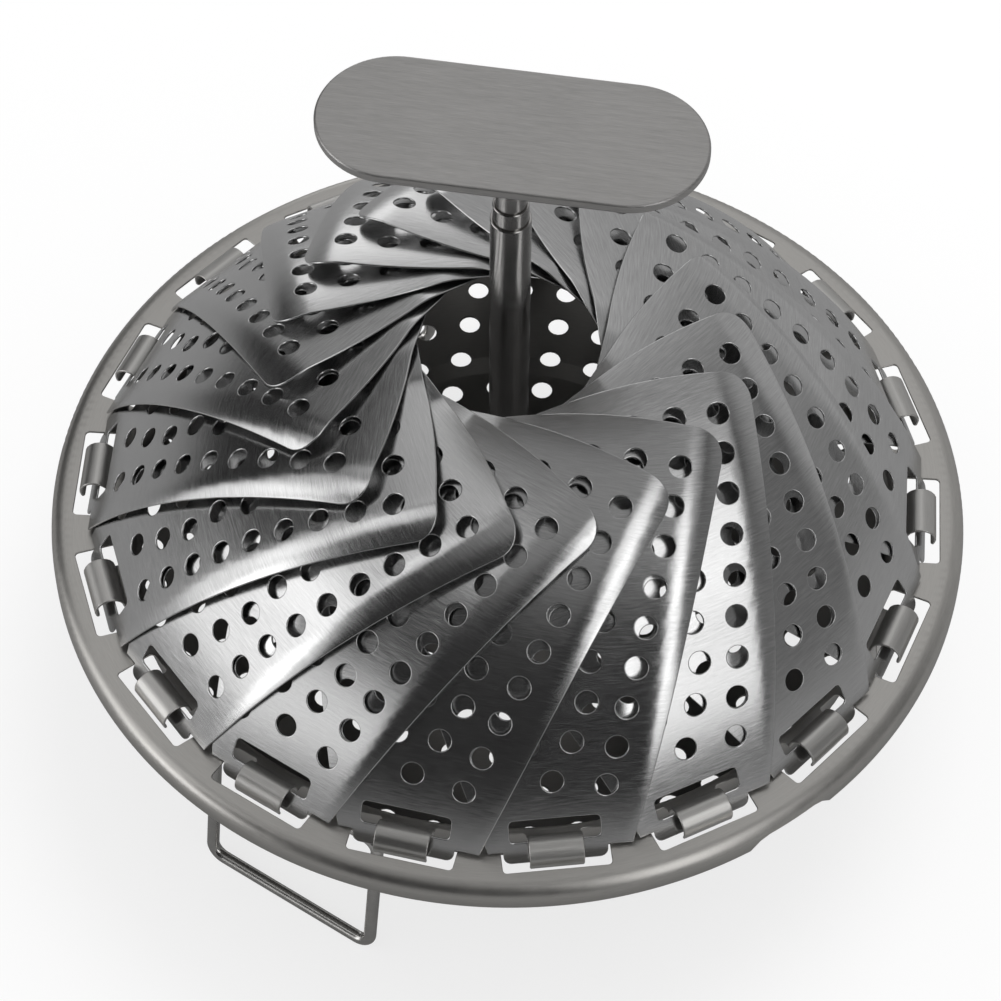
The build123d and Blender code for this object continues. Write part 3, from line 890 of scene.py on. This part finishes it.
def bent_wire_tree():
    """A round wire along a bent line, with rounded bends and closed ends."""
    tree = bpy.data.node_groups.new("Bent wire", "GeometryNodeTree")
    face = tree.interface
    face.new_socket("Line", in_out="INPUT", socket_type="NodeSocketGeometry")
    for label, value in (("Wire radius", wire_radius), ("Bend radius", wire_bend_radius)):
        socket = face.new_socket(label, in_out="INPUT", socket_type="NodeSocketFloat")
        socket.default_value = value
    socket = face.new_socket("Sides", in_out="INPUT", socket_type="NodeSocketInt")
    socket.default_value = wire_sides
    face.new_socket("Steel", in_out="INPUT", socket_type="NodeSocketMaterial")
    face.new_socket("Wire", in_out="OUTPUT", socket_type="NodeSocketGeometry")
    add, link = tree.nodes.new, tree.links.new
    start, end = add("NodeGroupInput"), add("NodeGroupOutput")
    curve, fillet = add("GeometryNodeMeshToCurve"), add("GeometryNodeFilletCurve")
    fillet.mode = "POLY"
    fillet.inputs["Count"].default_value = wire_bend_steps
    circle, sweep = add("GeometryNodeCurvePrimitiveCircle"), add("GeometryNodeCurveToMesh")
    sweep.inputs["Fill Caps"].default_value = True
    smooth, steel = add("GeometryNodeSetShadeSmooth"), add("GeometryNodeSetMaterial")
    real = add("GeometryNodeRealizeInstances")
    link(start.outputs["Line"], curve.inputs[0])
    link(curve.outputs[0], fillet.inputs["Curve"])
    link(start.outputs["Bend radius"], fillet.inputs["Radius"])
    link(start.outputs["Sides"], circle.inputs["Resolution"])
    link(start.outputs["Wire radius"], circle.inputs["Radius"])
    link(fillet.outputs[0], sweep.inputs["Curve"])
    link(circle.outputs[0], sweep.inputs["Profile Curve"])
    link(sweep.outputs[0], smooth.inputs["Geometry"])
    link(smooth.outputs[0], real.inputs["Geometry"])
    link(real.outputs[0], steel.inputs["Geometry"])
    link(start.outputs["Steel"], steel.inputs["Material"])
    link(steel.outputs[0], end.inputs[0])
    return tree


def grown(name, points, edges, tree, inputs, body):
    """A plain mesh piece made by a node tree from a few points and edges."""
    seed_mesh = bpy.data.meshes.new(f"{name} line")
    seed_mesh.from_pydata([tuple(p) for p in points], edges, [])
    seed = bpy.data.objects.new(f"{name} line", seed_mesh)
    bpy.context.scene.collection.objects.link(seed)
    modifier = seed.modifiers.new("shape", "NODES")
    modifier.node_group = tree
    for item in tree.interface.items_tree:
        if item.in_out == "INPUT" and item.name in inputs:
            modifier[item.identifier] = inputs[item.name]
    bpy.context.view_layer.update()
    evaluated = seed.evaluated_get(bpy.context.evaluated_depsgraph_get())
    mesh = bpy.data.meshes.new_from_object(evaluated)
    bpy.data.objects.remove(seed)
    piece = bpy.data.objects.new(name, mesh)
    bpy.context.scene.collection.objects.link(piece)
    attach(piece, body)
    return piece


wire_tree = bent_wire_tree()
leg_half = foot_half_length - wire_radius
leg_line = np.array([
    (leg_hinge_radius, leg_pin_inner, leg_hinge_height),
    (leg_hinge_radius, leg_half, leg_hinge_height), (foot_radius, leg_half, wire_radius),
    (foot_radius, -leg_half, wire_radius), (leg_hinge_radius, -leg_half, leg_hinge_height),
    (leg_hinge_radius, -leg_pin_inner, leg_hinge_height),
])
for number, letter in enumerate("abc"):
    line = turned(leg_line, 2 * math.pi * number / leg_count)
    runs = [(i, i + 1) for i in range(len(leg_line) - 1)]
    leg = grown(f"leg_{letter}_wire", line, runs, wire_tree,
                {"Steel": wire_steel}, f"leg_{letter}")
    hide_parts(f"leg_{letter}")

finishes = {
    "clip_rivets": small_steel, "post_outer_tube": tube_steel,
    "post_middle_tube": tube_steel, "handle_rod": tube_steel, "handle_plate": plate_steel,
    "handle_weld": small_steel, "friction_sleeve": small_steel, "post_plug": small_steel,
    "post_screw": small_steel, "post_washer": small_steel,
}
for letter in "abc":
    finishes[f"leg_clip_{letter}"] = small_steel
for name, material in finishes.items():
    finish_node(name, material)

# The dish and its hooks

verts, normals, flats, faces = dish_mesh_data()
dish = add_piece("dish_sheet", verts, faces, dish_steel, normals, flats)
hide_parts("dish")
verts, normals, flats, faces = hook_mesh_data()
count = len(verts)
turns = [2 * math.pi * number / petal_count for number in range(petal_count)]
all_faces = [tuple(i + count * n for i in f) for n in range(petal_count) for f in faces]
hooks = add_piece("dish_hooks", np.concatenate([turned(verts, t) for t in turns]), all_faces,
                  hook_steel, np.concatenate([turned(normals, t) for t in turns]),
                  np.concatenate([flats] * petal_count))

# Petals: smooth pressed sheets with rounded edges and hole rims

grain_shift = (0.13, 0.29)
verts, normals, flats, faces = petal_mesh_data()
for number in range(petal_count):
    name = f"petal_{number + 1:02d}"
    angle = 2 * math.pi * number / petal_count
    shift = number * np.array(grain_shift)
    piece = add_piece(f"{name}_sheet", turned(verts, angle), faces, petal_steel,
                      turned(normals, angle), flats + shift, name)
    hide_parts(name)


# Floor, light and camera

floor_half = 3.0
floor_gap = 0.2 * MM
floor_tone = 0.93
floor_glow_share = 0.74
floor_card_share = 0.75
floor_card_strength = 0.1


def add_floor():
    """A pale floor: nearly white to the camera, a dim card to polished steel."""
    size = floor_half
    mesh = bpy.data.meshes.new("floor")
    mesh.from_pydata([(-size, -size, 0), (size, -size, 0), (size, size, 0), (-size, size, 0)],
                     [], [(0, 1, 2, 3)])
    floor = bpy.data.objects.new("floor", mesh)
    bpy.context.scene.collection.objects.link(floor)
    floor.location.z = -floor_gap
    material, tree, shader = new_material("pale floor")
    shader.inputs["Base Color"].default_value = (floor_tone, floor_tone, floor_tone, 1)
    shader.inputs["Roughness"].default_value = 0.9
    shader.inputs["Specular IOR Level"].default_value = 0.0
    path = tree.nodes.new("ShaderNodeLightPath")
    glow = tree.nodes.new("ShaderNodeEmission")
    card = tree.nodes.new("ShaderNodeEmission")
    card.inputs["Strength"].default_value = floor_card_strength
    mix = tree.nodes.new("ShaderNodeMixShader")
    seen = tree.nodes.new("ShaderNodeMixShader")
    direct = math_node(tree, "MAXIMUM", path.outputs["Is Camera Ray"],
                       path.outputs["Is Transmission Ray"])
    tree.links.new(math_node(tree, "MULTIPLY", direct, floor_glow_share), mix.inputs[0])
    tree.links.new(shader.outputs[0], mix.inputs[1])
    tree.links.new(glow.outputs[0], mix.inputs[2])
    mirrored = path.outputs["Is Glossy Ray"]
    tree.links.new(math_node(tree, "MULTIPLY", mirrored, floor_card_share), seen.inputs[0])
    tree.links.new(mix.outputs[0], seen.inputs[1])
    tree.links.new(card.outputs[0], seen.inputs[2])
    output = next(node for node in tree.nodes if node.type == "OUTPUT_MATERIAL")
    tree.links.new(seen.outputs[0], output.inputs["Surface"])
    mesh.materials.append(material)


def sky_lobe(tree, direction, azimuth, elevation, width, soft, strength):
    """A soft round light in the surroundings that metal reflects."""
    a, e = math.radians(azimuth), math.radians(elevation)
    way = (math.cos(e) * math.cos(a), math.cos(e) * math.sin(a), math.sin(e))
    dot = tree.nodes.new("ShaderNodeVectorMath")
    dot.operation = "DOT_PRODUCT"
    tree.links.new(direction, dot.inputs[0])
    dot.inputs[1].default_value = way
    edge = math.cos(math.radians(width))
    inner = math.cos(math.radians(max(width - soft, 0)))
    node = tree.nodes.new("ShaderNodeMapRange")
    node.interpolation_type = "SMOOTHSTEP"
    tree.links.new(dot.outputs["Value"], node.inputs["Value"])
    node.inputs["From Min"].default_value = edge
    node.inputs["From Max"].default_value = inner
    node.inputs["To Max"].default_value = strength
    return node.outputs["Result"]


# Azimuth, elevation, half width and softness in degrees, and strength, of each light
# zone that polished steel reflects
sky_lobes = (
    (65, 12, 66, 36, 0.36),
    (0, 90, 42, 30, 0.26),
    (93, 54, 24, 14, 0.34),
    (98, 8, 15, 8, 0.9),
    (140, 52, 16, 8, 0.5),
    (-20, 58, 20, 12, 0.3),
    (-18, 20, 34, 18, 0.13),
    (-51, 20, 13, 4, 1.35),
    (-50, 38, 14, 5, 1.25),
    (-42, 54, 15, 6, 1.1),
    (-172, 10, 26, 6, 1.1),
    (-153, 12, 18, 5, 1.05),
    (178, 36, 18, 6, 0.6),
    (-175, 54, 13, 6, 0.8),
)


horizon_heights = (0.06, -0.03)
dim_strengths = (0.02, 0.2)
room_strength = 0.75
white_strength = 1.0


def add_world():
    """White to the camera, even light for matt surfaces, light zones for reflections."""
    world = bpy.data.worlds.new("studio")
    bpy.context.scene.world = world
    world.use_nodes = True
    tree = world.node_tree
    tree.nodes.clear()
    coordinates = tree.nodes.new("ShaderNodeTexCoord")
    direction = coordinates.outputs["Generated"]
    parts = tree.nodes.new("ShaderNodeSeparateXYZ")
    tree.links.new(direction, parts.inputs[0])
    total = map_range(tree, parts.outputs["Z"], *horizon_heights, *dim_strengths)
    for lobe in sky_lobes:
        total = math_node(tree, "ADD", total, sky_lobe(tree, direction, *lobe))
    path = tree.nodes.new("ShaderNodeLightPath")
    shades = []
    for strength in (total, room_strength, white_strength):
        node = tree.nodes.new("ShaderNodeBackground")
        if isinstance(strength, float):
            node.inputs["Strength"].default_value = strength
        else:
            tree.links.new(strength, node.inputs["Strength"])
        node.inputs["Color"].default_value = (1, 1, 1, 1)
        shades.append(node.outputs[0])
    glossy = tree.nodes.new("ShaderNodeMixShader")
    tree.links.new(path.outputs["Is Glossy Ray"], glossy.inputs[0])
    tree.links.new(shades[1], glossy.inputs[1])
    tree.links.new(shades[0], glossy.inputs[2])
    camera = tree.nodes.new("ShaderNodeMixShader")
    white = math_node(tree, "MAXIMUM", path.outputs["Is Camera Ray"],
                      path.outputs["Is Transmission Ray"])
    tree.links.new(white, camera.inputs[0])
    tree.links.new(glossy.outputs[0], camera.inputs[1])
    tree.links.new(shades[2], camera.inputs[2])
    output = tree.nodes.new("ShaderNodeOutputWorld")
    tree.links.new(camera.outputs[0], output.inputs[0])


lamp_place = (0.3, 0.5, 1.4)
lamp_aim = (0, 0, 0.05)
lamp_size = 0.9
lamp_power = 9.0


def add_lamp(name, place, size, power, aim):
    """A round soft lamp that reflections don't show."""
    light = bpy.data.lights.new(name, "AREA")
    light.shape = "DISK"
    light.size = size
    light.energy = power
    lamp = bpy.data.objects.new(name, light)
    lamp.location = place
    lamp.rotation_mode = "QUATERNION"
    lamp.rotation_quaternion = (Vector(place) - Vector(aim)).to_track_quat("Z", "Y")
    lamp.visible_glossy = False
    bpy.context.scene.collection.objects.link(lamp)


camera_elevation = math.radians(54.18)
camera_turn = math.radians(3.4)
camera_roll = math.radians(0.49)
camera_distance = 0.7443
camera_shift = (-1.436 * MM, -0.808 * MM)
camera_lens = 135.1
sensor_width = 36
clip_start = 0.01


def add_camera():
    """The camera looks at the middle of the flange from the front, a little to one side."""
    back = Vector((0, -math.cos(camera_elevation), math.sin(camera_elevation)))
    right = Vector((1, 0, 0))
    up = back.cross(right)
    c, s = math.cos(camera_roll), math.sin(camera_roll)
    tilted_right, tilted_up = right * c + up * s, up * c - right * s
    place = back * camera_distance + tilted_right * camera_shift[0] + tilted_up * camera_shift[1]
    matrix = Matrix((tilted_right, tilted_up, back)).transposed().to_4x4()
    matrix.translation = place
    turn = Matrix.Rotation(camera_turn, 4, "Z")
    matrix = Matrix.Translation((0, 0, flange_height)) @ turn @ matrix
    data = bpy.data.cameras.new("camera")
    data.lens = camera_lens
    data.sensor_width = sensor_width
    data.clip_start = clip_start
    camera = bpy.data.objects.new("camera", data)
    camera.matrix_world = matrix
    bpy.context.scene.collection.objects.link(camera)
    bpy.context.scene.camera = camera


add_floor()
add_world()
add_lamp("overhead softbox", lamp_place, lamp_size, lamp_power, lamp_aim)
add_camera()
bpy.context.scene.view_settings.view_transform = "Standard"
